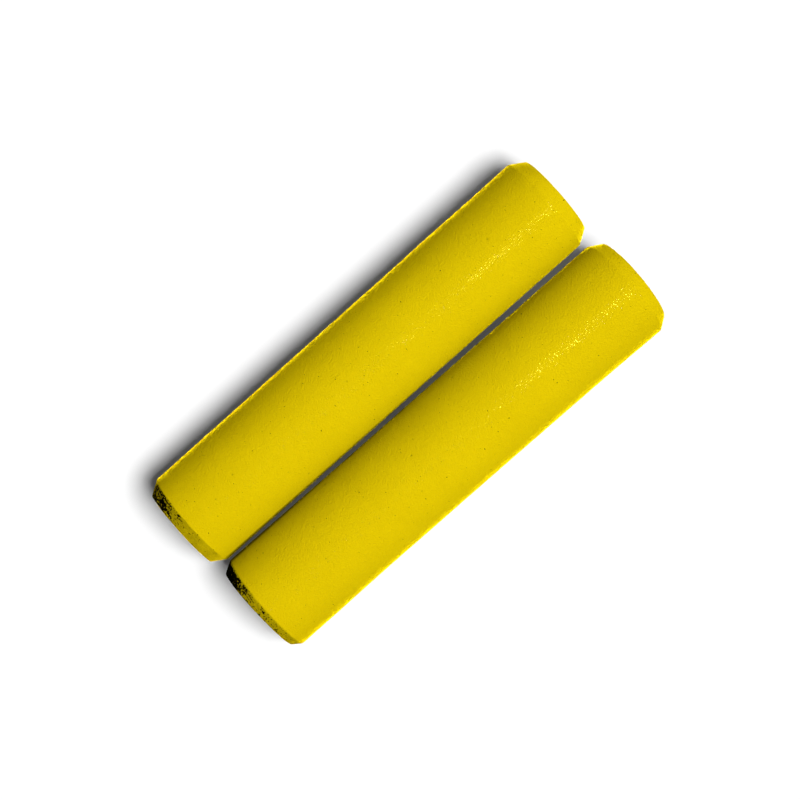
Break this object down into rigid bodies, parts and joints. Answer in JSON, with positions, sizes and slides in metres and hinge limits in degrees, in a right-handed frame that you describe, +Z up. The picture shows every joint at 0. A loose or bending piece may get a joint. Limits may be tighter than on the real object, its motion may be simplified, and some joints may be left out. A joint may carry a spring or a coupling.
{
  "type": "clay bar",
  "caption": "Matched pair of solid kneadable detailing clay rods with bevelled ends, lying side by side, for lifting bonded dirt off car paint.",
  "frame": {"origin": "on the table, under the middle of the pair of bars", "axes": "+X along the bars, towards the end where the gap between them is wider; +Y across them, from the front bar to the rear bar; +Z up from the table"},
  "size_m": [0.117, 0.0512, 0.0249],
  "materials": {
    "detailing_clay": "matte"
  },
  "bodies": {
    "rear_bar": {"rear_bar": "detailing_clay"},
    "front_bar": {"front_bar": "detailing_clay"}
  },
  "joints": [
    {"name": "front_bar_lift", "type": "slide", "parent": "rear_bar", "child": "front_bar", "axis": [0, 0, 1], "range_m": [0, 0.04]}
  ]
}
